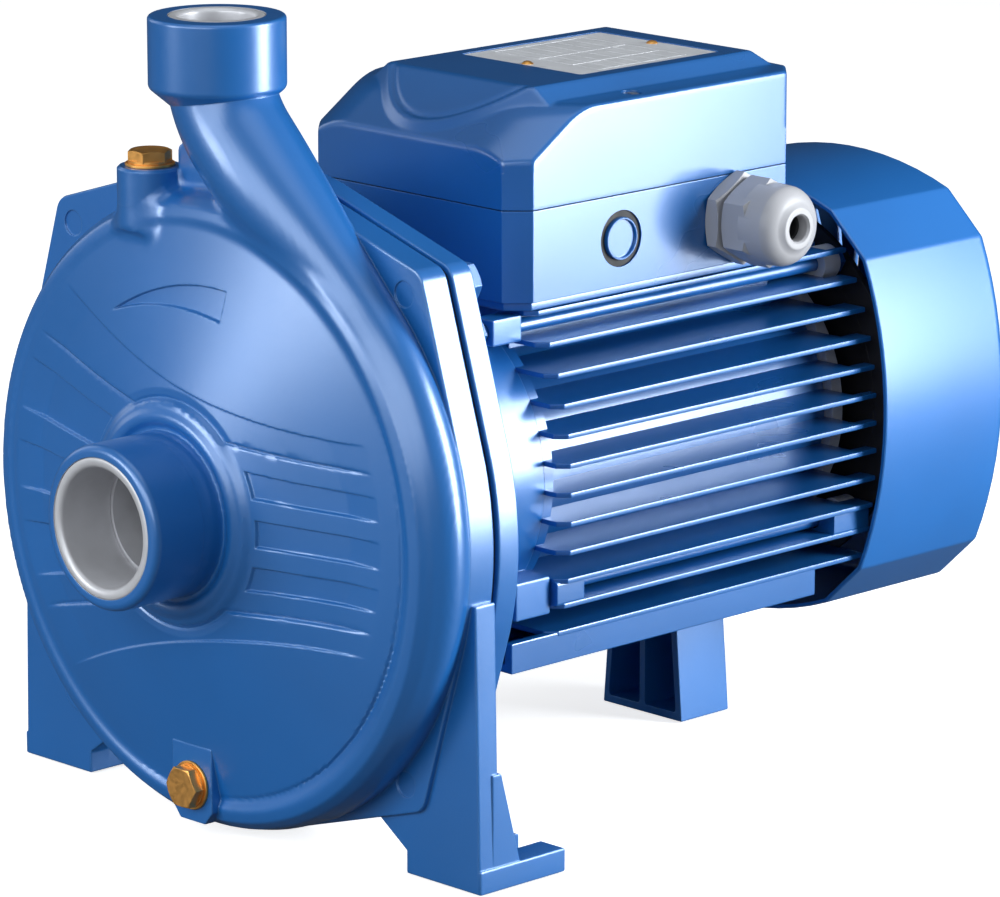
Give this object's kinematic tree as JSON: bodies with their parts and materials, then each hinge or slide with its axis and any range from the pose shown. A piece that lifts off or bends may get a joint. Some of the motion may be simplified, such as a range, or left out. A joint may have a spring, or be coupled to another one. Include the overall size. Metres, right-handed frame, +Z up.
{
  "type": "centrifugal water pump",
  "caption": "Close-coupled centrifugal water pump: foot-standing cast volute casing with threaded ports on a finned fan-cooled motor with terminal box.",
  "frame": {"origin": "centre of the suction port's outer face, on the shaft axis", "axes": "+Y along the shaft towards the motor, +Z up, so -Y is the suction port's outward direction"},
  "size_m": [0.2248, 0.355, 0.2706],
  "materials": {
    "cast_blue": "satin blue enamel over cast iron",
    "sheet_blue": "satin blue enamel",
    "gland_grey": "light grey moulded plastic",
    "port_metal": "bare machined ring",
    "brass": "turned brass",
    "steel": "zinc plated",
    "bare_alu": "bare die casting",
    "black_rubber": "black rubber",
    "black_plastic": "black moulded plastic",
    "lamination": "stacked electrical steel",
    "copper": "lacquered copper wire",
    "ceramic": "ceramic seal ring",
    "plate": "printed aluminium plate, no text",
    "cap_white": "white capacitor can",
    "alu_blue": "satin blue enamel over die-cast aluminium"
  },
  "bodies": {
    "pump": {"pump_casing": "cast_blue", "suction_port_insert": "port_metal", "discharge_port_insert": "port_metal", "casing_gasket": "black_rubber", "casing_bolts": "cast_blue", "seal_plate": "steel", "seal_seat": "ceramic", "motor_bracket": "cast_blue", "front_bearing_outer": "steel", "rear_bearing_outer": "steel", "wave_washer": "steel", "stator_core": "lamination", "stator_windings": "copper", "motor_housing": "alu_blue", "rear_shield": "bare_alu", "tie_rods": "alu_blue", "rear_foot": "sheet_blue", "rear_foot_screws": "steel", "fan_cover": "sheet_blue", "fan_cover_screws": "steel", "terminal_box_base": "alu_blue", "terminal_box_gasket": "black_rubber", "terminal_box_lid": "alu_blue", "lid_screws": "steel", "base_screws": "steel", "rating_plate": "plate", "plate_rivets": "brass", "cable_gland_body": "gland_grey", "cable_gland_locknut": "gland_grey", "blank_plug": "alu_blue", "terminal_board": "black_plastic", "terminal_studs": "brass", "capacitor": "cap_white", "capacitor_clamp": "steel", "earth_screw": "brass"},
    "rotor": {"shaft": "steel", "shaft_slinger": "black_rubber", "impeller": "steel", "impeller_key": "steel", "impeller_washer": "steel", "impeller_nut": "steel", "seal_head": "black_rubber", "seal_spring": "steel", "front_bearing_inner": "steel", "rear_bearing_inner": "steel", "rotor_core": "lamination", "rotor_cage": "bare_alu", "fan": "black_plastic", "fan_clip": "steel"},
    "front_balls": {"front_bearing_balls": "steel"},
    "rear_balls": {"rear_bearing_balls": "steel"},
    "priming_seal": {"priming_plug_washer": "steel"},
    "priming_screw": {"priming_plug": "brass"},
    "drain_seal": {"drain_plug_washer": "steel"},
    "drain_screw": {"drain_plug": "brass"},
    "gland_insert": {"cable_gland_seal": "black_rubber"},
    "gland_cap": {"cable_gland_nut": "gland_grey"}
  },
  "joints": [
    {"name": "shaft_spin", "type": "hinge", "parent": "pump", "child": "rotor", "pos_m": [0, 0, 0], "axis": [0, 1, 0], "continuous": true},
    {"name": "front_balls_orbit", "type": "hinge", "parent": "pump", "child": "front_balls", "pos_m": [0, 0.1135, 0], "axis": [0, 1, 0], "continuous": true},
    {"name": "rear_balls_orbit", "type": "hinge", "parent": "pump", "child": "rear_balls", "pos_m": [0, 0.277, 0], "axis": [0, 1, 0], "continuous": true},
    {"name": "priming_seal_lift", "type": "slide", "parent": "pump", "child": "priming_seal", "axis": [0, 0, 1], "range_m": [0, 0.00937]},
    {"name": "priming_plug_turn", "type": "hinge", "parent": "priming_seal", "child": "priming_screw", "pos_m": [-0.0277, 0.047, 0.1082], "axis": [0, 0, 1], "range_deg": [0, 2520]},
    {"name": "drain_seal_draw", "type": "slide", "parent": "pump", "child": "drain_seal", "axis": [0, -1, 0], "range_m": [0, 0.00937]},
    {"name": "drain_plug_turn", "type": "hinge", "parent": "drain_seal", "child": "drain_screw", "pos_m": [0, 0.0373, -0.093], "axis": [0, -1, 0], "range_deg": [0, 2520]},
    {"name": "gland_insert_draw", "type": "slide", "parent": "pump", "child": "gland_insert", "axis": [1, 0, 0], "range_m": [0, 0.00901]},
    {"name": "gland_nut_turn", "type": "hinge", "parent": "gland_insert", "child": "gland_cap", "pos_m": [0.07, 0.238, 0.076], "axis": [1, 0, 0], "range_deg": [0, 2160]}
  ],
  "couplings": [
    {"joint": "front_balls_orbit", "follows": "shaft_spin", "ratio": 0.3825},
    {"joint": "rear_balls_orbit", "follows": "shaft_spin", "ratio": 0.3682},
    {"joint": "priming_seal_lift", "follows": "priming_plug_turn", "m_per_rad": 0.00021279},
    {"joint": "drain_seal_draw", "follows": "drain_plug_turn", "m_per_rad": 0.00021279},
    {"joint": "gland_insert_draw", "follows": "gland_nut_turn", "m_per_rad": 0.00023873}
  ]
}
